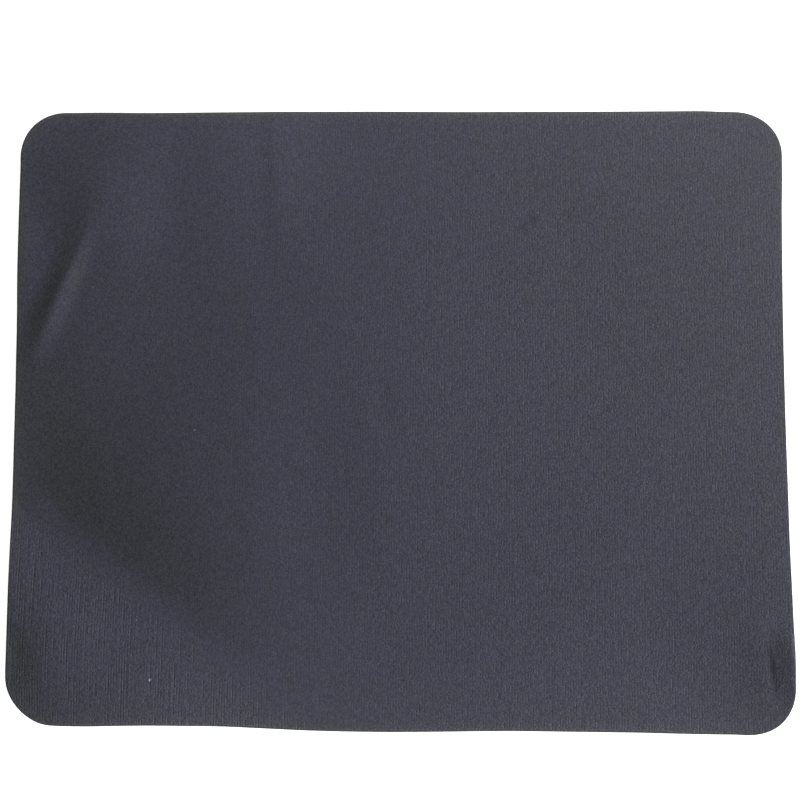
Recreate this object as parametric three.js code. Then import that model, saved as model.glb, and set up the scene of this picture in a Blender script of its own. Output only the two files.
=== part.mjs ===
// A cloth-topped mouse pad, as it lies on a desk after it was unpacked.
// A knitted face cloth is bonded by a thin film to a foam rubber base, and the three layers are die-cut in one stroke.
// Millimetres, +Z up. The origin is on the desk under the middle of the outline, and +Y points away from the user.
import * as THREE from 'three';

// The cut outline: a rectangle with round corners
const LENGTH = 250;
const WIDTH = 200;
const CORNER_RADIUS = 15;

// The layers, from the desk up
const BASE_THICKNESS = 1.6;
const FILM_THICKNESS = 0.1;
const CLOTH_THICKNESS = 0.3;

// The narrow strip along the cut where the die pressed the foam down
const RIM_WIDTH = 0.9;
const RIM_DROP = 0.1;

// How finely the faces follow the lie and the corners. Columns crowd to the left, where the sharpest crease is.
const COLUMN_SPACING = 10;
const COLUMN_CROWDING = 1.5;
const ROW_SPACING = 8.5;
const CORNER_STEPS = 6;

// How sharp a crease's crest is, and how soon a bent-up flap rises: smaller is sharper, and sooner
const CREST_ROUNDING = 0.12;
const FLAP_POWER = 0.6;

const HALF_LENGTH = LENGTH / 2;
const HALF_WIDTH = WIDTH / 2;

// The lie that packing left in the sheet: soft waves, sharper creases and a bent-up piece of the edge. A crest runs
// through x, y along the heading, in degrees from +X, and fades out at halfCrest either way. The sheet comes down to
// the desk at leftReach and rightReach of the crest, by the profile named. A valley has a negative height.
const LIE = {
  leftSwell: {
    profile: hump,
    x: 22 - HALF_LENGTH,
    y: HALF_WIDTH - 38,
    heading: 48,
    halfCrest: 92,
    leftReach: 31,
    rightReach: 54,
    height: 1.6,
  },
  arch: {
    profile: hump,
    x: -55,
    y: -17.5,
    heading: -57,
    halfCrest: 86,
    leftReach: 137,
    rightReach: 81,
    height: 2.87,
  },
  nearLeftCorner: {
    profile: hump,
    x: 10.5 - HALF_LENGTH,
    y: 19.5 - HALF_WIDTH,
    heading: -34,
    halfCrest: 106,
    leftReach: 40,
    rightReach: 58,
    height: 2.86,
  },
  nearRightCorner: {
    profile: hump,
    x: HALF_LENGTH + 15,
    y: 31.5 - HALF_WIDTH,
    heading: 44,
    halfCrest: 52,
    leftReach: 60,
    rightReach: 50,
    height: 1.83,
  },
  farRipple: {
    profile: hump,
    x: -52.6,
    y: HALF_WIDTH - 17,
    heading: 90,
    halfCrest: 61,
    leftReach: 25,
    rightReach: 14,
    height: 0.64,
  },
  farCrease: {
    profile: tent,
    x: -40,
    y: HALF_WIDTH - 17,
    heading: 91,
    halfCrest: 48,
    leftReach: 11,
    rightReach: 25,
    height: 0.68,
  },
  leftCrease: {
    profile: tent,
    x: 15.6 - HALF_LENGTH,
    y: 43,
    heading: 67.5,
    halfCrest: 36,
    leftReach: 7,
    rightReach: 7,
    height: 0.84,
  },
  leftValley: {
    profile: tent,
    x: 33 - HALF_LENGTH,
    y: 56 - HALF_WIDTH,
    heading: -36,
    halfCrest: 63,
    leftReach: 27,
    rightReach: 29,
    height: -0.78,
  },
  curledEdge: {
    profile: flap,
    x: HALF_LENGTH + 2.2,
    y: 21.5 - HALF_WIDTH,
    heading: 102,
    halfCrest: 17,
    leftReach: 9,
    rightReach: 9,
    height: 1.1,
  },
};

// A smooth hump, 1 at the middle and nothing from 1 outwards.
function hump(u) {
  return Math.abs(u) < 1 ? (1 - u * u) ** 2 : 0;
}

// A fold with a nearly sharp crest.
function tent(u) {
  const slant = Math.hypot(u, CREST_ROUNDING) - CREST_ROUNDING;
  return Math.max(1 - slant, 0) ** 2;
}

// A slope that starts with a bend and flattens as it rises.
function flap(u) {
  return Math.max(1 - Math.abs(u), 0) ** FLAP_POWER;
}

function heightOf(crest, x, y) {
  const heading = THREE.MathUtils.degToRad(crest.heading);
  const along = (x - crest.x) * Math.cos(heading) + (y - crest.y) * Math.sin(heading);
  const across = (y - crest.y) * Math.cos(heading) - (x - crest.x) * Math.sin(heading);
  const reach = across > 0 ? crest.leftReach : crest.rightReach;
  return crest.height * hump(along / crest.halfCrest) * crest.profile(across / reach);
}

// How far a point of the sheet lies inside the cut.
function insetFromCut(x, y) {
  const pastX = Math.abs(x) - HALF_LENGTH + CORNER_RADIUS;
  const pastY = Math.abs(y) - HALF_WIDTH + CORNER_RADIUS;
  const fromArcCentre = Math.hypot(Math.max(pastX, 0), Math.max(pastY, 0));
  return CORNER_RADIUS - fromArcCentre - Math.min(Math.max(pastX, pastY), 0);
}

// How far the die pressed the foam down there.
function pressedDown(x, y) {
  const share = Math.max(1 - insetFromCut(x, y) / RIM_WIDTH, 0);
  return RIM_DROP * share ** 2;
}

// Heights of the four surfaces that bound the layers, each written once and shared by the layers that meet there
function underside(x, y) {
  const lift = Object.values(LIE).reduce((sum, crest) => sum + heightOf(crest, x, y), 0);
  return Math.max(lift, 0);
}

function foamTop(x, y) {
  return underside(x, y) + BASE_THICKNESS - pressedDown(x, y);
}

function filmTop(x, y) {
  return foamTop(x, y) + FILM_THICKNESS;
}

function clothTop(x, y) {
  return filmTop(x, y) + CLOTH_THICKNESS;
}

// Grid lines across the sheet: between the corners, even or crowding to the low end, then at the steps of the arcs.
function gridLines(half, spacing, crowding) {
  const straight = half - CORNER_RADIUS;
  const spaces = Math.ceil((2 * straight) / spacing);
  const middle = Array.from({ length: spaces + 1 }, (_, i) => straight * (2 * (i / spaces) ** crowding - 1));
  const corner = Array.from({ length: CORNER_STEPS }, (_, i) => {
    const turn = ((i + 1) / CORNER_STEPS) * (Math.PI / 2);
    return straight + CORNER_RADIUS * Math.sin(turn);
  });
  return [...corner.map((line) => -line).reverse(), ...middle, ...corner];
}

// Half the sheet's length along a grid line at y, drawn in by the corner arcs.
function halfLengthAt(y) {
  const intoCorner = Math.max(Math.abs(y) - HALF_WIDTH + CORNER_RADIUS, 0);
  const arc = Math.sqrt(Math.max(CORNER_RADIUS ** 2 - intoCorner ** 2, 0));
  return HALF_LENGTH - CORNER_RADIUS + arc;
}

const columns = gridLines(HALF_LENGTH, COLUMN_SPACING, COLUMN_CROWDING);
const rows = gridLines(HALF_WIDTH, ROW_SPACING, 1);
const plan = rows.flatMap((y) => columns.map((x) => [(x * halfLengthAt(y)) / HALF_LENGTH, y]));

// The grid points round the cut, anticlockwise from the near left corner.
function cutLoop() {
  const point = (row, column) => row * columns.length + column;
  const lastRow = rows.length - 1;
  const lastColumn = columns.length - 1;
  const loop = [];
  for (let column = 0; column < lastColumn; column += 1) loop.push(point(0, column));
  for (let row = 0; row < lastRow; row += 1) loop.push(point(row, lastColumn));
  for (let column = lastColumn; column > 0; column -= 1) loop.push(point(lastRow, column));
  for (let row = lastRow; row > 0; row -= 1) loop.push(point(row, 0));
  return loop;
}

// One closed layer between two surfaces. Layers share the plan, so they meet face to face.
function layerGeometry(lower, upper) {
  const positions = [];
  for (const surface of [lower, upper]) {
    for (const [x, y] of plan) positions.push(x, y, surface(x, y));
  }
  const up = plan.length;
  const faces = [];
  for (let row = 0; row < rows.length - 1; row += 1) {
    for (let column = 0; column < columns.length - 1; column += 1) {
      const a = row * columns.length + column;
      const b = a + 1;
      const d = a + columns.length;
      const c = d + 1;
      faces.push(a, c, b, a, d, c);
      faces.push(up + a, up + b, up + c, up + a, up + c, up + d);
    }
  }
  const loop = cutLoop();
  loop.forEach((here, i) => {
    const next = loop[(i + 1) % loop.length];
    faces.push(here, next, up + next, here, up + next, up + here);
  });
  const geometry = new THREE.BufferGeometry();
  geometry.setAttribute('position', new THREE.Float32BufferAttribute(positions, 3));
  geometry.setIndex(faces);
  geometry.computeVertexNormals();
  return geometry;
}

function layer(name, lower, upper, finish) {
  const mesh = new THREE.Mesh(layerGeometry(lower, upper), new THREE.MeshStandardMaterial(finish));
  mesh.name = name;
  return mesh;
}

const pad = new THREE.Group();
pad.add(layer('foam_base', underside, foamTop, { color: 0x1b1b1d, roughness: 0.85, metalness: 0 }));
pad.add(layer('bonding_film', foamTop, filmTop, { color: 0x2b2b2e, roughness: 0.5, metalness: 0 }));
pad.add(layer('face_cloth', filmTop, clothTop, { color: 0x474852, roughness: 0.95, metalness: 0 }));

export default pad;
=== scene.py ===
"""A cloth-topped mouse pad on a pale floor, seen from nearly straight above.

Three layers that were die-cut in one stroke: a knitted face, a line of glue and a foam rubber base.
Shapes are worked out in millimetres and turned into metres where a mesh is made.
"""

import math
from collections import namedtuple
from functools import reduce

import bpy
import numpy as np
from mathutils import Matrix, Vector


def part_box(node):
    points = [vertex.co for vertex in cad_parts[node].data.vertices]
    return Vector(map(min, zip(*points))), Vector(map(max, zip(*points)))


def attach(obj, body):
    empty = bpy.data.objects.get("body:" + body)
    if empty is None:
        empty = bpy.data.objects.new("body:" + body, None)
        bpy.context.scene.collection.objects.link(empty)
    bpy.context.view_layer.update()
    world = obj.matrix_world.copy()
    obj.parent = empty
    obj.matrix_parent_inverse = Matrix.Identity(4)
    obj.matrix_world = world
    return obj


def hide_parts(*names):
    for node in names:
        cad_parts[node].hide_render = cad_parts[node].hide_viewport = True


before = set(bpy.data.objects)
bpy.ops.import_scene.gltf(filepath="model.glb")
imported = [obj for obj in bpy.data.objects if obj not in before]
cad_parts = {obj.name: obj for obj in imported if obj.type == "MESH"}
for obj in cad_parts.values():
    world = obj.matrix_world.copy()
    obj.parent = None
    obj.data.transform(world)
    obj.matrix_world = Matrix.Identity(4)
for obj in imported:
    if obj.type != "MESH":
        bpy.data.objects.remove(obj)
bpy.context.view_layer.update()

MM = 0.001

# The cut outline, from the frame
HALF_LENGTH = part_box("foam_base")[1].x / MM
HALF_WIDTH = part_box("foam_base")[1].y / MM
CORNER_RADIUS = 15

# The layers, from the desk up
BASE_THICKNESS = 1.6
FILM_THICKNESS = 0.1
CLOTH_THICKNESS = 0.3

# The narrow strip along the cut where the die pressed the foam down
RIM_WIDTH = 0.9
RIM_DROP = 0.1

# How far the cut walls swell out, ring by ring from the lowest up. The foam's wall is hollow.
FOAM_BULGES = (-0.06, -0.12, -0.14, -0.1, -0.04)
CLOTH_BULGES = (0.05, 0.04)

# How finely the meshes follow the lie of the sheet. Columns crowd to the left, where the sharpest crease is.
FACE_SPACING = 1.25
COLUMN_CROWDING = 1.5
CORNER_COLUMNS = 26
CORNER_ROWS = 16

# Where the low main light stands, in metres
LIGHT_PLACE = (1.05, 0.31, 0.35)


# The lie of the sheet

Wave = namedtuple("Wave", "x y heading half_crest left_reach right_reach height")

# Soft waves that packing left in the sheet. A crest runs through x, y along its heading, in degrees from +X.
WAVES = {
    "left_swell": Wave(-103, 62, 48, 92, 31, 54, 1.6),
    "arch": Wave(-55, -17.5, -57, 86, 137, 81, 2.87),
    "near_left_corner": Wave(-114.5, -80.5, -34, 106, 40, 58, 2.86),
    "near_right_corner": Wave(140, -68.5, 44, 52, 60, 50, 1.83),
    "far_ripple": Wave(-52.6, 83, 90, 61, 25, 14, 0.64),
    "left_edge": Wave(-117, -22, 104, 51, 12, 23, -0.23),
    "corner_edge": Wave(-110, -74, 79, 28, 12, 20, 0.4),
    "corner_lip": Wave(-119.7, -64, 105, 32, 7, 15, 0.25),
    "crease_tail": Wave(-95.8, 65.1, 64, 21, 16.6, 20, 0.61),
    "left_lip": Wave(-127, 56, 92, 28, 10, 12, 0.52),
    "middle_dip": Wave(-24.7, -20, 90, 52, 23, 23, -0.35),
    "curl_ridge": Wave(116.2, -77.9, 96, 22.9, 9, 4.4, 0.25),
}

# Creases, with sharper crests
CREASES = {
    "left_crease": Wave(-110.5, 39.6, 66.2, 33.6, 8.1, 6.1, 1.08),
    "left_crest_wear": Wave(-111.4, 37.2, 65.4, 43, 3.6, 2.6, -0.12),
    "left_valley": Wave(-92, -44, -36, 63, 27, 29, -0.78),
    "far_crease": Wave(-40, 83, 91, 48, 11, 25, 0.68),
    "middle_crease": Wave(-3.8, 1, 97, 15.6, 6.5, 6, -0.15),
}
CREST_ROUNDING = 0.12

# Flaps of the edge, bent up along a line at the reach of their crest. The line curves in towards both ends,
# where the least fade keeps some reach.
FLAPS = {
    "curled_edge": Wave(124.8, -78.5, 95.4, 16.3, 7, 7, 1.09),
}
FLAP_POWER = 0.57
BEND_CURVE = 0.115
LEAST_FADE = 0.001

# Places along the cut where the limp sheet has crept out or in, fading over a depth inwards
Nudge = namedtuple("Nudge", "side place reach out")
SIDES = {
    "left": (HALF_LENGTH, -1),
    "right": (HALF_LENGTH, 1),
    "near": (HALF_WIDTH, -1),
    "far": (HALF_WIDTH, 1),
}
NUDGE_DEPTH = 45
NUDGES = [
    Nudge("near", -112, 16, -0.3),
    Nudge("near", -76, 36, -0.68),
    Nudge("near", -48, 22, -0.25),
    Nudge("near", -10, 52, 0.88),
    Nudge("near", 100, 26, 0.22),
    Nudge("left", -74, 38, -0.55),
    Nudge("left", 16, 44, -0.3),
    Nudge("left", 86, 34, 0.6),
    Nudge("right", -80, 44, 0.6),
    Nudge("right", 28, 60, -0.42),
    Nudge("right", 84, 20, 0.25),
    Nudge("far", -105, 25, 0.45),
    Nudge("far", -18, 45, 0.33),
    Nudge("far", 75, 50, -0.13),
    Nudge("far", 113, 16, -0.5),
]

# Corners that the lie of the sheet draws in or out along their diagonals
CORNER_REACH = 15
CORNER_OUT = {(-1, -1): -0.9, (1, -1): 0.95, (1, 1): 0.1, (-1, 1): 0.55}
DIAGONAL = math.sqrt(0.5)


def hump(u):
    """A smooth hump, 1 at the middle and nothing from 1 outwards."""
    return np.where(np.abs(u) < 1, (1 - u * u) ** 2, 0)


def tent(u):
    """A fold with a nearly sharp crest, 1 at the middle and almost nothing from 1 outwards."""
    slant = np.sqrt(u * u + CREST_ROUNDING**2) - CREST_ROUNDING
    return np.clip(1 - slant, 0, None) ** 2


def ramp(u):
    """A slope that starts with a bend at 1 and flattens as it rises to 1 at the middle."""
    return np.clip(1 - np.abs(u), 0, None) ** FLAP_POWER


def wave_height(wave, profile, x, y, curve=0):
    """Height of a wave at a point. A curve above 0 draws its reach in towards the ends of its crest."""
    heading = math.radians(wave.heading)
    along = (x - wave.x) * math.cos(heading) + (y - wave.y) * math.sin(heading)
    across = (y - wave.y) * math.cos(heading) - (x - wave.x) * math.sin(heading)
    fade = hump(along / wave.half_crest)
    reach = np.where(across > 0, wave.left_reach, wave.right_reach)
    reach = reach * np.maximum(fade, LEAST_FADE) ** curve
    return wave.height * fade * profile(across / reach)


def inset_from_cut(x, y):
    """How far a point of the sheet lies inside the cut."""
    past_x = np.abs(x) - HALF_LENGTH + CORNER_RADIUS
    past_y = np.abs(y) - HALF_WIDTH + CORNER_RADIUS
    from_arc_centre = np.hypot(np.maximum(past_x, 0), np.maximum(past_y, 0))
    return CORNER_RADIUS - from_arc_centre - np.minimum(np.maximum(past_x, past_y), 0)


def pressed_down(x, y):
    """How far the die pressed the foam down there."""
    return RIM_DROP * np.maximum(1 - inset_from_cut(x, y) / RIM_WIDTH, 0) ** 2


def drift(x, y):
    """How far the sheet has crept sideways there: its cut isn't quite straight."""
    move_x = np.zeros_like(x)
    move_y = np.zeros_like(y)
    for nudge in NUDGES:
        crept_in_x = nudge.side in ("left", "right")
        across, along = (x, y) if crept_in_x else (y, x)
        edge, sign = SIDES[nudge.side]
        depth = (edge - sign * across) / NUDGE_DEPTH
        move = sign * nudge.out * hump((along - nudge.place) / nudge.reach) * hump(depth)
        if crept_in_x:
            move_x = move_x + move
        else:
            move_y = move_y + move
    arc_middle = CORNER_RADIUS * (1 - DIAGONAL)
    for (side_x, side_y), out in CORNER_OUT.items():
        from_x = x - side_x * (HALF_LENGTH - arc_middle)
        from_y = y - side_y * (HALF_WIDTH - arc_middle)
        move = out * DIAGONAL * hump(np.hypot(from_x, from_y) / CORNER_REACH)
        move_x = move_x + side_x * move
        move_y = move_y + side_y * move
    return move_x, move_y


def underside(x, y):
    """Height of the sheet's underside over the desk."""
    waves = sum(wave_height(wave, hump, x, y) for wave in WAVES.values())
    creases = sum(wave_height(crease, tent, x, y) for crease in CREASES.values())
    flaps = sum(wave_height(flap, ramp, x, y, BEND_CURVE) for flap in FLAPS.values())
    return np.maximum(waves + creases + flaps, 0)


def foam_top(x, y):
    return underside(x, y) + BASE_THICKNESS - pressed_down(x, y)


def film_top(x, y):
    return foam_top(x, y) + FILM_THICKNESS


def cloth_top(x, y):
    return film_top(x, y) + CLOTH_THICKNESS


# Meshes of the layers


def grid_lines(half, corner_steps, crowding=1):
    """Lines across the sheet: even or crowding to the low end, and in the corners closer to the cut."""
    straight = half - CORNER_RADIUS
    steps = np.linspace(0, 1, math.ceil(2 * straight / FACE_SPACING) + 1)
    middle = straight * (2 * steps**crowding - 1)
    turns = np.arange(1, corner_steps + 1) / corner_steps * math.pi / 2
    corner = straight + CORNER_RADIUS * np.sin(turns)
    return np.concatenate([-corner[::-1], middle, corner])


def half_length_at(y):
    """Half the sheet's length at y, drawn in by the corner arcs."""
    into_corner = np.maximum(np.abs(y) - HALF_WIDTH + CORNER_RADIUS, 0)
    arc = np.sqrt(np.maximum(CORNER_RADIUS**2 - into_corner**2, 0))
    return HALF_LENGTH - CORNER_RADIUS + arc


def sheet_plan():
    """Points of the sheet seen from above, as two arrays of rows by columns."""
    rows = grid_lines(HALF_WIDTH, CORNER_ROWS)
    columns = grid_lines(HALF_LENGTH, CORNER_COLUMNS, COLUMN_CROWDING)
    x = np.outer(half_length_at(rows) / HALF_LENGTH, columns)
    y = np.repeat(rows[:, None], len(columns), axis=1)
    return x, y


PLAN_X, PLAN_Y = sheet_plan()
POINT_NUMBERS = np.arange(PLAN_X.size).reshape(PLAN_X.shape)


def cut_loop():
    """Grid points round the cut, anticlockwise from the near left corner."""
    near = POINT_NUMBERS[0, :-1]
    right = POINT_NUMBERS[:-1, -1]
    far = POINT_NUMBERS[-1, :0:-1]
    left = POINT_NUMBERS[:0:-1, 0]
    return np.concatenate([near, right, far, left])


def grid_quads(first, flipped):
    """Faces of one grid whose points start at first."""
    index = first + POINT_NUMBERS
    corners = [index[:-1, :-1], index[:-1, 1:], index[1:, 1:], index[1:, :-1]]
    if flipped:
        corners.reverse()
    return np.stack(corners, axis=-1).reshape(-1, 4)


def wall_quads(rings):
    """Faces between closed rings of points, from the lowest ring up."""
    faces = []
    for lower, upper in zip(rings, rings[1:]):
        faces.append(np.stack([lower, np.roll(lower, -1), np.roll(upper, -1), upper], axis=-1))
    return np.concatenate(faces)


def outward_at_cut():
    """Unit vectors pointing out of the cut at the points of its loop."""
    loop = cut_loop()
    x = PLAN_X.ravel()[loop]
    y = PLAN_Y.ravel()[loop]
    along_x = np.roll(x, -1) - np.roll(x, 1)
    along_y = np.roll(y, -1) - np.roll(y, 1)
    length = np.hypot(along_x, along_y)
    return along_y / length, -along_x / length


def add_mesh(name, points, faces, insets):
    """A smooth object, whose points keep how far they lie inside the cut."""
    mesh = bpy.data.meshes.new(name)
    mesh.from_pydata((points * MM).tolist(), [], faces.tolist())
    mesh.shade_smooth()
    mesh.attributes.new("inset", "FLOAT", "POINT").data.foreach_set("value", insets)
    made = bpy.data.objects.new(name, mesh)
    bpy.context.scene.collection.objects.link(made)
    return made


def make_layer(name, lower, upper, bulges=()):
    """A closed layer between two surfaces, with one ring of points round its cut wall for each bulge."""
    x = PLAN_X.ravel()
    y = PLAN_Y.ravel()
    low = lower(x, y)
    high = upper(x, y)
    inset = inset_from_cut(x, y)
    move_x, move_y = drift(x, y)
    x = x + move_x
    y = y + move_y
    count = len(x)
    loop = cut_loop()
    out_x, out_y = outward_at_cut()
    blocks = [np.stack([x, y, low], axis=-1), np.stack([x, y, high], axis=-1)]
    rings = [loop]
    for step, bulge in enumerate(bulges):
        share = (step + 1) / (len(bulges) + 1)
        height = low[loop] + share * (high[loop] - low[loop])
        blocks.append(np.stack([x[loop] + bulge * out_x, y[loop] + bulge * out_y, height], axis=-1))
        rings.append(2 * count + step * len(loop) + np.arange(len(loop)))
    rings.append(count + loop)
    points = np.concatenate(blocks)
    faces = np.concatenate([grid_quads(0, True), grid_quads(count, False), wall_quads(rings)])
    insets = np.zeros(len(points))
    insets[: 2 * count] = np.tile(inset, 2)
    return add_mesh(name, points, faces, insets)


# Materials

# Where a Mix node keeps its share, its two colours and the colour that it makes
MIX_SHARE = 0
MIX_A = 6
MIX_B = 7
MIX_RESULT = 2

# A row of random numbers that no dash takes its tone from, for where the dashes of a column start
START_ROW = 0.5


class Shader:
    """A material whose nodes are written as short expressions."""

    def __init__(self, name):
        self.material = bpy.data.materials.new(name)
        self.material.use_nodes = True
        self.tree = self.material.node_tree
        self.surface = self.tree.nodes["Principled BSDF"]

    def feed(self, socket, value):
        """Links a socket to another one, or sets its value."""
        if isinstance(value, bpy.types.NodeSocket):
            self.tree.links.new(value, socket)
        else:
            socket.default_value = value

    def node(self, kind, **settings):
        made = self.tree.nodes.new("ShaderNode" + kind)
        for key, value in settings.items():
            setattr(made, key, value)
        return made

    def set(self, **values):
        """Feeds the surface's sockets by name, with _ for a space."""
        for name, value in values.items():
            self.feed(self.surface.inputs[name.replace("_", " ")], value)

    def compute(self, operation, *values):
        made = self.node("Math", operation=operation)
        for socket, value in zip(made.inputs, values):
            self.feed(socket, value)
        return made.outputs[0]

    def add(self, a, b):
        return self.compute("ADD", a, b)

    def times(self, a, b):
        return self.compute("MULTIPLY", a, b)

    def total(self, values):
        return reduce(self.add, values)

    def product(self, values):
        return reduce(self.times, values)

    def position(self):
        """x, y and z of the point, in millimetres."""
        split = self.node("SeparateXYZ")
        self.feed(split.inputs[0], self.node("TexCoord").outputs["Object"])
        return [self.times(axis, 1 / MM) for axis in split.outputs]

    def vector(self, x, y, z=0.0):
        made = self.node("CombineXYZ")
        for socket, value in zip(made.inputs, (x, y, z)):
            self.feed(socket, value)
        return made.outputs[0]

    def noise(self, vector, scale, detail):
        """A smooth random tone round one half, with about scale swings to each unit of the vector."""
        made = self.node("TexNoise")
        self.feed(made.inputs["Vector"], vector)
        made.inputs["Scale"].default_value = scale
        made.inputs["Detail"].default_value = detail
        return made.outputs[0]

    def chance(self, vector):
        """An even random number from 0 to 1 for each value of the vector."""
        made = self.node("TexWhiteNoise", noise_dimensions="2D")
        self.feed(made.inputs["Vector"], vector)
        return made.outputs["Value"]

    def dashes(self, column, place, length):
        """A random tone for each dash of that length along a column. Columns are out of step."""
        start = self.chance(self.vector(column, START_ROW))
        number = self.compute("FLOOR", self.add(self.times(place, 1 / length), start))
        return self.chance(self.vector(column, number))

    def voronoi(self, vector, size):
        """Cells of about that size round scattered points."""
        made = self.node("TexVoronoi")
        self.feed(made.inputs["Vector"], vector)
        made.inputs["Scale"].default_value = 1 / size
        return made

    def cells(self, vector, size):
        """Distance to the nearest of scattered points."""
        return self.voronoi(vector, size).outputs["Distance"]

    def flecks(self, vector, size):
        """A random tone for each of many small cells."""
        return self.voronoi(vector, size).outputs["Color"]

    def arches(self, value):
        """A row of round arches of height 1, one to each whole step of the value."""
        return self.compute("SINE", self.times(self.compute("FRACT", value), math.pi))

    def between(self, value, low, high, to_low, to_high):
        """Runs smoothly from to_low to to_high as value goes from low to high."""
        made = self.node("MapRange", interpolation_type="SMOOTHSTEP")
        settings = (value, low, high, to_low, to_high)
        for socket, setting in zip(made.inputs, settings):
            self.feed(socket, setting)
        return made.outputs[0]

    def swing(self, value, share):
        """Turns a value round one half into a factor round 1, up and down by up to the share."""
        off_middle = self.add(value, -0.5)
        return self.add(self.times(self.times(off_middle, share), 2), 1)

    def from_mark(self, x, y, mark):
        """Distance from a mark's middle, as a share of its reach."""
        made = self.node("VectorMath", operation="DISTANCE")
        self.feed(made.inputs[0], self.vector(x, y))
        self.feed(made.inputs[1], (mark.x, mark.y, 0))
        return self.times(made.outputs["Value"], 1 / mark.reach)

    def attribute(self, name):
        made = self.node("Attribute", attribute_name=name)
        return made.outputs["Fac"]

    def mix(self, a, b, share):
        """Colour a at a share of 0, and b at 1."""
        made = self.node("Mix", data_type="RGBA")
        self.feed(made.inputs[MIX_SHARE], share)
        self.feed(made.inputs[MIX_A], a)
        self.feed(made.inputs[MIX_B], b)
        return made.outputs[MIX_RESULT]

    def facing(self, place):
        """How squarely the surface faces a far place: 1 is square on."""
        made = self.node("VectorMath", operation="DOT_PRODUCT")
        self.feed(made.inputs[0], self.node("NewGeometry").outputs["Normal"])
        self.feed(made.inputs[1], Vector(place).normalized())
        return made.outputs["Value"]

    def tint(self, colour, factor):
        """A colour made lighter or darker by a factor."""
        made = self.node("VectorMath", operation="SCALE")
        self.feed(made.inputs[0], colour)
        self.feed(made.inputs["Scale"], factor)
        return made.outputs[0]

    def bump(self, height, depth, strength):
        """Normals of a surface raised by height times depth, in millimetres."""
        made = self.node("Bump")
        made.inputs["Strength"].default_value = strength
        made.inputs["Distance"].default_value = depth * MM
        self.feed(made.inputs["Height"], height)
        return made.outputs[0]


# A look that runs smoothly from one value to another, between two values of what it follows
Fade = namedtuple("Fade", "start end at_start at_end")


# The knit

KNIT_COLOUR = (0.0434, 0.0447, 0.0709, 1)
# The grey of wear, also used as painted sheen towards the far right and on the lit sides of folds
WORN_AND_SHEEN_COLOUR = (0.0441, 0.045, 0.0551, 1)
# The hue of painted shade, on folds and places that turn from the light
DIM_COLOUR = (0.0434, 0.0492, 0.0552, 1)

# Its wales run away from the user, each with two legs and a gap, and its courses cross them
WALE = 0.84
STRANDS = 3
COURSE = 0.46

# How far the wales waver sideways, and over what length
WAVER = 0.5
WAVER_LENGTH = 30

# The relief of the yarn: the swell of each loop, the height of the gap, and how deep and strong it all is
LOOP_SWELL = 0.3
GAP_HEIGHT = 0.75
YARN_DEPTH = 0.02
YARN_STRENGTH = 0.6
YARN_ROUGHNESS = Fade(0, 1, 0.95, 0.82)

# How light the yarn is, by its height: painted shade darkens the low yarn and the gaps. Flecks weaken to the
# right, and dashes of the strands grow stronger.
YARN_PAINTED_SHADE = Fade(0, 1, 0.95, 1.05)
FLECK = 0.36
FLECK_SHARE = 0.505
FLECK_LOSS = 0.345
DASH = 0.38
DASH_SHARE = 0.4

# Wales that show as ribs, loop by loop and in runs along them. Neighbours lie a step apart in the noise.
LOOP_SHARE = 0.79
LOOP_OFFSET = -0.305
NEIGHBOUR_STEP = 1.7
RUN_MIDDLE = 0.48
SHORT_RUN = 4
SHORT_SHARE = 1.2
LONG_RUN = 16
LONG_SHARE = 2.05

# Where they show: to the right, a little less at the far side, and in the near left corner, past the valley
RIBS_BY_X = Fade(-100, 60, 0.12, 1.0)
RIBS_BY_Y = Fade(30, 100, 1.0, 0.8)
CORNER_BY_VALLEY = Fade(-2, -14, 0.0, 1.0)
CORNER_LOOPS = 1.1

# Faint blotches all over the cloth
BLOTCH = 14
BLOTCH_SHARE = 0.04

# Two small dark spots, and a few pale specks of lint: how far each reaches, and how many times as light its
# middle is
Mark = namedtuple("Mark", "x y reach shade")
DARK_SPOTS = [
    Mark(44.7, 64.4, 3.2, 0.66),
    Mark(41.5, 61.2, 2.4, 0.8),
]
LINT = [
    Mark(45.9, 66.2, 0.5, 3),
    Mark(-77.9, -85, 0.6, 9),
    Mark(-64.9, -5.3, 0.5, 3.6),
    Mark(-83, -66.3, 0.45, 3),
    Mark(-86.1, -52.7, 0.4, 3),
    Mark(-99.6, 41.5, 0.45, 2.6),
    Mark(-93, 73.3, 0.45, 2.6),
    Mark(124.4, -82.2, 0.7, 1.7),
]

# Along the cut, by how far inside it: dark at the cut itself, from the dark cut yarn ends and from painted
# shade, then a frayed line and a rubbed strip.
# Each changes along x, towards the right border or towards both sides.
RIGHT_BORDER = (HALF_LENGTH - 20, HALF_LENGTH - 3)
CUT_START = 0.1
CUT_END = Fade(0, HALF_LENGTH - 2, 0.4, 0.7)
CUT_SHADE = Fade(HALF_LENGTH - 7, HALF_LENGTH - 2, 0.8, 0.55)
FRAYED_BAND = (0.45, 1.4)
FRAYED_SHADE = Fade(*RIGHT_BORDER, 1.24, 1.0)
RUBBED_BAND = (0.8, 4.5)
RUBBED_SHADE = Fade(*RIGHT_BORDER, 1.14, 1.04)

# The lip of the curled edge, paler along the cut. It fades over the last part of its reach.
PALE_LIP = Mark(125, -76.5, 10, 1.35)
PALE_LIP_ENDS = (0.6, 1)
PALE_LIP_BAND = (0.6, 2)

# Greyness: along the border, in patches, to the far right as painted sheen, along the near edge, and with
# the grain
BORDER_BAND = (0.3, 4.2)
BORDER_TO_FAR_LEFT = Fade(-60, 60, 0.75, 0.95)
BORDER_BY_X = Fade(*RIGHT_BORDER, 1.0, 0.5)
PATCH = 6
PATCH_GREYNESS = Fade(0.4, 0.75, 0.0, 0.42)
FAR_RIGHT_SHEEN = Fade(0, 200, 0.0, 0.28)
NEAR_EDGE_GREYNESS = Fade(-HALF_WIDTH, 22 - HALF_WIDTH, 0.22, 0.0)
GRAIN_GREYNESS = 0.9

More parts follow.
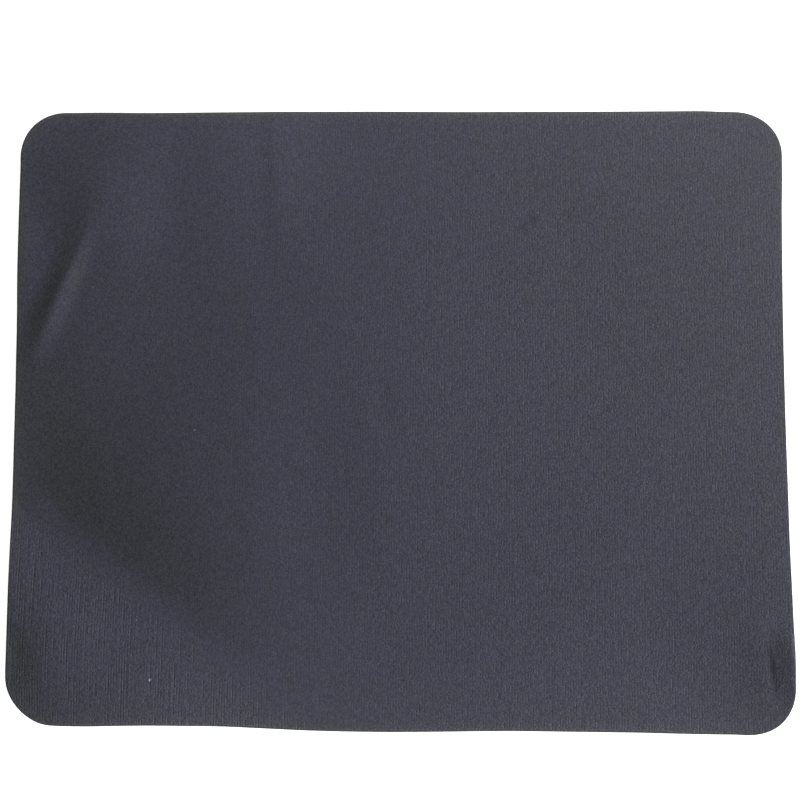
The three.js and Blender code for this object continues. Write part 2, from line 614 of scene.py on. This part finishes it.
# The folds on the left: greyer where they face the light, and dim where they turn from it
FOLDS_BY_X = Fade(-20, 60, 1.0, 0.0)
LIT_GREYNESS = Fade(0.34, 0.42, 0.0, 0.36)
LIT_BY_Y = Fade(-20, 10, 0.0, 1.0)
UNLIT_DIMNESS = Fade(0.2, 0.31, 0.57, 0.0)
UNLIT_BY_Y = Fade(54, 70, 1.0, 0.35)

# A corner and a stretch of the left side in the dull hue of painted shade, evenly out to a share of their
# reach
SHADED_PLACES = [
    Mark(-123, -77, 16, 0.28),
    Mark(-128, -5, 45, 0.38),
]
SHADED_EVENLY = 0.3

Yarn = namedtuple("Yarn", "wale_number strand_number in_wale height")


def knit_yarn(shader, x, y):
    """The yarn at a point: which wale and strand it is in, where across the wale, and how high."""
    waver = shader.noise(shader.vector(x, y), 1 / WAVER_LENGTH, detail=1.0)
    wale = shader.times(shader.add(x, shader.times(waver, WAVER)), 1 / WALE)
    strand = shader.times(wale, STRANDS)
    in_wale = shader.compute("FRACT", wale)
    in_gap = shader.compute("GREATER_THAN", in_wale, 1 - 1 / STRANDS)
    lean = shader.compute("ABSOLUTE", shader.add(in_wale, -1 / STRANDS))
    course = shader.add(shader.times(y, 1 / COURSE), lean)
    raised = shader.times(shader.arches(strand), shader.swing(shader.arches(course), LOOP_SWELL))
    height = shader.times(raised, shader.between(in_gap, 0, 1, 1.0, GAP_HEIGHT))
    return Yarn(shader.compute("FLOOR", wale), shader.compute("FLOOR", strand), in_wale, height)


def left_of_valley(shader, x, y):
    """How far a point lies to the left of the valley's line."""
    valley = CREASES["left_valley"]
    heading = math.radians(valley.heading)
    by_y = shader.times(shader.add(y, -valley.y), math.cos(heading))
    by_x = shader.times(shader.add(x, -valley.x), -math.sin(heading))
    return shader.add(by_y, by_x)


def run_along_wale(shader, y, yarn, length):
    """A tone round 0 that changes slowly along each wale."""
    beside = shader.times(yarn.wale_number, NEIGHBOUR_STEP)
    tone = shader.noise(shader.vector(beside, shader.times(y, 1 / length)), 1.0, detail=1.0)
    return shader.add(tone, -RUN_MIDDLE)


def knit_ribs(shader, y, yarn, in_corner, to_right):
    """How much lighter or darker than the cloth round them the wales are."""
    loop_tone = shader.dashes(yarn.wale_number, y, COURSE)
    loops = shader.compute("MAXIMUM", shader.times(in_corner, CORNER_LOOPS), to_right)
    loop_part = shader.times(shader.add(shader.times(loop_tone, LOOP_SHARE), LOOP_OFFSET), loops)
    short_run = run_along_wale(shader, y, yarn, SHORT_RUN)
    short_part = shader.times(short_run, shader.times(to_right, SHORT_SHARE))
    long_run = run_along_wale(shader, y, yarn, LONG_RUN)
    long_part = shader.times(long_run, shader.times(in_corner, LONG_SHARE))
    ridge = shader.compute("COSINE", shader.times(shader.add(yarn.in_wale, -1 / STRANDS), 2 * math.pi))
    return shader.times(ridge, shader.add(loop_part, shader.add(short_part, long_part)))


def knit_grain(shader, x, y, yarn):
    """How light each bit of yarn is, round 1."""
    in_corner = shader.between(left_of_valley(shader, x, y), *CORNER_BY_VALLEY)
    to_right = shader.times(shader.between(x, *RIBS_BY_X), shader.between(y, *RIBS_BY_Y))
    fleck = shader.flecks(shader.vector(x, y), FLECK)
    fleck_share = shader.add(shader.times(to_right, -FLECK_LOSS), FLECK_SHARE)
    dash = shader.dashes(yarn.strand_number, y, DASH)
    ribs = knit_ribs(shader, y, yarn, in_corner, to_right)
    factors = [
        # Painted shade: the lower the yarn, the darker
        shader.between(yarn.height, *YARN_PAINTED_SHADE),
        shader.swing(fleck, fleck_share),
        shader.swing(dash, shader.times(to_right, DASH_SHARE)),
        shader.add(ribs, 1.0),
    ]
    return shader.product(factors)


def knit_shade(shader, x, y, inset, grain):
    """How light the cloth is: its grain, with blotches, marks, wear along the cut, painted shade at the cut
    itself and a paler lip on the curled edge.
    """
    blotch = shader.noise(shader.vector(x, y), 1 / BLOTCH, detail=2.0)
    factors = [grain, shader.swing(blotch, BLOTCH_SHARE)]
    for mark in DARK_SPOTS + LINT:
        away = shader.from_mark(x, y, mark)
        factors.append(shader.between(away, 0, 1, mark.shade, 1.0))

    # Dark at the cut itself: the dark cut yarn ends, and painted shade
    cut_end = shader.between(x, *CUT_END)
    cut_shade = shader.between(shader.compute("ABSOLUTE", x), *CUT_SHADE)
    factors.append(shader.between(inset, CUT_START, cut_end, cut_shade, 1.0))
    frayed = shader.between(x, *FRAYED_SHADE)
    factors.append(shader.between(inset, *FRAYED_BAND, frayed, 1.0))
    rubbed = shader.between(x, *RUBBED_SHADE)
    factors.append(shader.between(inset, *RUBBED_BAND, rubbed, 1.0))
    lip = shader.between(shader.from_mark(x, y, PALE_LIP), *PALE_LIP_ENDS, PALE_LIP.shade, 1.0)
    factors.append(shader.between(inset, *PALE_LIP_BAND, lip, 1.0))
    return shader.product(factors)


def knit_colour(shader, x, y, inset, grain):
    """The hue of the cloth: blue, greyer where it is worn and where sheen is painted, and dim with painted
    shade on folds and places that turn from the light.
    """
    facing = shader.facing(LIGHT_PLACE)
    on_left = shader.between(x, *FOLDS_BY_X)
    to_far_left = shader.between(shader.compute("SUBTRACT", y, x), *BORDER_TO_FAR_LEFT)
    at_border = shader.times(to_far_left, shader.between(x, *BORDER_BY_X))
    patch = shader.noise(shader.vector(x, y), 1 / PATCH, detail=2.0)
    lit_fold = [shader.between(facing, *LIT_GREYNESS), shader.between(y, *LIT_BY_Y), on_left]
    greyness = [
        shader.between(inset, *BORDER_BAND, at_border, 0.0),
        shader.between(patch, *PATCH_GREYNESS),
        # Painted sheen: greyer towards the far right
        shader.between(shader.add(x, y), *FAR_RIGHT_SHEEN),
        shader.between(y, *NEAR_EDGE_GREYNESS),
        shader.product(lit_fold),
        shader.times(shader.add(grain, -1), GRAIN_GREYNESS),
    ]
    for speck in LINT:
        away = shader.from_mark(x, y, speck)
        greyness.append(shader.between(away, 0, 1, 1.0, 0.0))

    unlit_fold = [shader.between(facing, *UNLIT_DIMNESS), on_left, shader.between(y, *UNLIT_BY_Y)]
    dimness = [shader.product(unlit_fold)]
    # Painted shade: a duller hue on a corner and along the left side
    for shaded_place in SHADED_PLACES:
        away = shader.from_mark(x, y, shaded_place)
        dimness.append(shader.between(away, SHADED_EVENLY, 1, shaded_place.shade, 0.0))
    # The grey colour mixed in here is partly wear and partly painted sheen
    worn_and_sheen = shader.mix(KNIT_COLOUR, WORN_AND_SHEEN_COLOUR, shader.total(greyness))
    return shader.mix(worn_and_sheen, DIM_COLOUR, shader.total(dimness))


def knit_material():
    """Columns of leaning yarn loops, each loop a little lighter or darker, worn grey along the cut."""
    shader = Shader("knit")
    x, y = shader.position()[:2]
    inset = shader.attribute("inset")
    yarn = knit_yarn(shader, x, y)
    grain = knit_grain(shader, x, y, yarn)
    colour = knit_colour(shader, x, y, inset, grain)
    shader.set(
        Base_Color=shader.tint(colour, knit_shade(shader, x, y, inset, grain)),
        Roughness=shader.between(yarn.height, *YARN_ROUGHNESS),
        Normal=shader.bump(yarn.height, YARN_DEPTH, YARN_STRENGTH),
        Specular_IOR_Level=0.25,
        Sheen_Weight=0.08,
        Sheen_Roughness=0.5,
    )
    return shader.material


# The foam

FOAM_COLOUR = (0.011, 0.011, 0.012)
FOAM_STRENGTH = 0.7

# Its pores, with their walls by the distance from their middles. Painted shade darkens their hollow middles.
PORE = 0.25
PORE_WALLS = Fade(0.1, 0.45, 0.0, 1.0)
PORE_DEPTH = 0.05
PORE_PAINTED_SHADE = Fade(0, 1, 0.55, 1.0)

# Its mottled grain, in swings to a millimetre
MOTTLE_SCALE = 1.5
MOTTLE_SHARE = 0.35
MOTTLE_ROUGHNESS = Fade(0.3, 0.7, 0.8, 0.95)

# The waffle on its underside, by how squarely the surface faces down. Painted shade keeps its grooves darker
# than its raised cells.
GRIP_PITCH = 1.8
GRIP_DEPTH = 0.2
GRIP_PAINTED_SHADE = Fade(0, 1, 1.0, 1.5)
GRIP_BY_FACING = Fade(0.5, 0.9, 0.0, 1.0)
DOWN = (0, 0, -1)


def foam_material():
    """Black closed cells, with a fine waffle moulded into the underside for grip."""
    shader = Shader("foam rubber")
    x, y, z = shader.position()
    place = shader.vector(x, y, z)
    pores = shader.between(shader.cells(place, PORE), *PORE_WALLS)
    mottle = shader.noise(place, MOTTLE_SCALE, detail=4.0)
    one_way = shader.compute("SINE", shader.times(shader.add(x, y), math.pi / GRIP_PITCH))
    other_way = shader.compute("SINE", shader.times(shader.compute("SUBTRACT", x, y), math.pi / GRIP_PITCH))
    waffle = shader.compute("ABSOLUTE", shader.times(one_way, other_way))
    waffle = shader.times(waffle, shader.between(shader.facing(DOWN), *GRIP_BY_FACING))
    factors = [
        shader.swing(mottle, MOTTLE_SHARE),
        # Painted shade in the hollow middles of the pores
        shader.between(pores, *PORE_PAINTED_SHADE),
        # Painted shade: the waffle's grooves stay darker than its raised cells
        shader.between(waffle, *GRIP_PAINTED_SHADE),
    ]
    relief = shader.add(shader.times(pores, PORE_DEPTH), shader.times(waffle, GRIP_DEPTH))
    shader.set(
        Base_Color=shader.tint(FOAM_COLOUR, shader.product(factors)),
        Roughness=shader.between(mottle, *MOTTLE_ROUGHNESS),
        Normal=shader.bump(relief, 1.0, FOAM_STRENGTH),
        Specular_IOR_Level=0.2,
    )
    return shader.material


# The glue

GLUE_COLOUR = (0.024, 0.024, 0.027)

# Its smears, in swings to a millimetre
SMEAR_SCALE = 0.8
SMEAR_SHARE = 0.4
SMEAR_DEPTH = 0.05
SMEAR_STRENGTH = 0.5
SMEAR_ROUGHNESS = Fade(0.3, 0.7, 0.4, 0.65)


def glue_material():
    """A dark, slightly shiny film, smeared where the layers were pressed together."""
    shader = Shader("glue")
    x, y, z = shader.position()
    smear = shader.noise(shader.vector(x, y, z), SMEAR_SCALE, detail=3.0)
    shader.set(
        Base_Color=shader.tint(GLUE_COLOUR, shader.swing(smear, SMEAR_SHARE)),
        Roughness=shader.between(smear, *SMEAR_ROUGHNESS),
        Normal=shader.bump(smear, SMEAR_DEPTH, SMEAR_STRENGTH),
    )
    return shader.material


# The pieces


def add_piece(piece, node, material):
    """Puts a piece in the place of a CAD node."""
    piece.data.materials.append(material)
    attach(piece, "root")
    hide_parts(node)


base = make_layer("foam_sheet", underside, foam_top, FOAM_BULGES)
add_piece(base, "foam_base", foam_material())

glue = make_layer("glue_line", foam_top, film_top)
add_piece(glue, "bonding_film", glue_material())

cloth = make_layer("knit_face", film_top, cloth_top, CLOTH_BULGES)
add_piece(cloth, "face_cloth", knit_material())


# Floor, light and camera

FLOOR_SIZE = 8.0
FLOOR_COLOUR = (0.95, 0.95, 0.95, 1)
FLOOR_GLOW = 0.5

# A broad sun and a key light in the place of the main light. The sun's angle is in degrees.
SUN_POWER = 1.57
SUN_ANGLE = 20
KEY_POWER = 28.9
KEY_SIZE = 0.3

# Faint strips of light low along the near and the far edge, in metres
STRIP = dict(shape="RECTANGLE", size=0.26, size_y=0.02, use_shadow=False)
NEAR_STRIP_PLACE = (0.003, -0.13, 0.032)
NEAR_STRIP_POWER = 0.034
FAR_STRIP_PLACE = (0.007, 0.13, 0.032)
FAR_STRIP_POWER = 0.0235

# An even sky: the light that it gives the pad, and the pale tone seen behind the floor
SKY_FILL = (0.08, 0.076, 0.044, 1)
SKY_SEEN = (0.69, 0.69, 0.67, 1)

# The camera, as the photograph was taken: millimetres, and degrees for its roll
CAMERA_PLACE = (11.4, -16, 325.2)
CAMERA_AIM = (1.3, 4.8, 2)
CAMERA_ROLL = 0.3
LENS = 45
SENSOR_WIDTH = 36
NEAREST_SEEN = 10


def add_floor():
    bpy.ops.mesh.primitive_plane_add(size=FLOOR_SIZE)
    floor = bpy.context.object
    floor.name = "floor"
    shader = Shader("floor")
    shader.set(Base_Color=FLOOR_COLOUR, Roughness=0.9, Specular_IOR_Level=0.0)
    shader.set(Emission_Color=FLOOR_COLOUR, Emission_Strength=FLOOR_GLOW)
    floor.data.materials.append(shader.material)


def add_light(name, kind, place, power, **settings):
    """A light at a place in metres, turned towards the pad."""
    data = bpy.data.lights.new(name, kind)
    data.energy = power
    for key, value in settings.items():
        setattr(data, key, value)
    light = bpy.data.objects.new(name, data)
    light.location = place
    light.rotation_mode = "QUATERNION"
    light.rotation_quaternion = (-Vector(place)).to_track_quat("-Z", "Y")
    light.visible_camera = False
    bpy.context.scene.collection.objects.link(light)


def add_world():
    world = bpy.data.worlds.new("studio")
    world.use_nodes = True
    tree = world.node_tree
    ray = tree.nodes.new("ShaderNodeLightPath")
    colour = tree.nodes.new("ShaderNodeMix")
    colour.data_type = "RGBA"
    colour.inputs[MIX_A].default_value = SKY_FILL
    colour.inputs[MIX_B].default_value = SKY_SEEN
    tree.links.new(ray.outputs["Is Camera Ray"], colour.inputs[MIX_SHARE])
    tree.links.new(colour.outputs[MIX_RESULT], tree.nodes["Background"].inputs["Color"])
    bpy.context.scene.world = world


def add_camera():
    data = bpy.data.cameras.new("camera")
    data.sensor_width = SENSOR_WIDTH
    data.lens = LENS
    data.clip_start = NEAREST_SEEN * MM
    camera = bpy.data.objects.new("camera", data)
    back = (Vector(CAMERA_PLACE) - Vector(CAMERA_AIM)).normalized()
    right = Vector((0, 1, 0)).cross(back).normalized()
    turned = Matrix((right, back.cross(right), back)).transposed()
    roll = Matrix.Rotation(math.radians(CAMERA_ROLL), 3, "Z")
    camera.matrix_world = Matrix.Translation(Vector(CAMERA_PLACE) * MM) @ (turned @ roll).to_4x4()
    bpy.context.scene.collection.objects.link(camera)
    bpy.context.scene.camera = camera


add_floor()
add_light("sun", "SUN", LIGHT_PLACE, SUN_POWER, angle=math.radians(SUN_ANGLE))
add_light("key", "AREA", LIGHT_PLACE, KEY_POWER, size=KEY_SIZE, use_shadow=False)
add_light("near_strip", "AREA", NEAR_STRIP_PLACE, NEAR_STRIP_POWER, **STRIP)
add_light("far_strip", "AREA", FAR_STRIP_PLACE, FAR_STRIP_POWER, **STRIP)
add_world()
add_camera()
bpy.context.scene.view_settings.view_transform = "Standard"
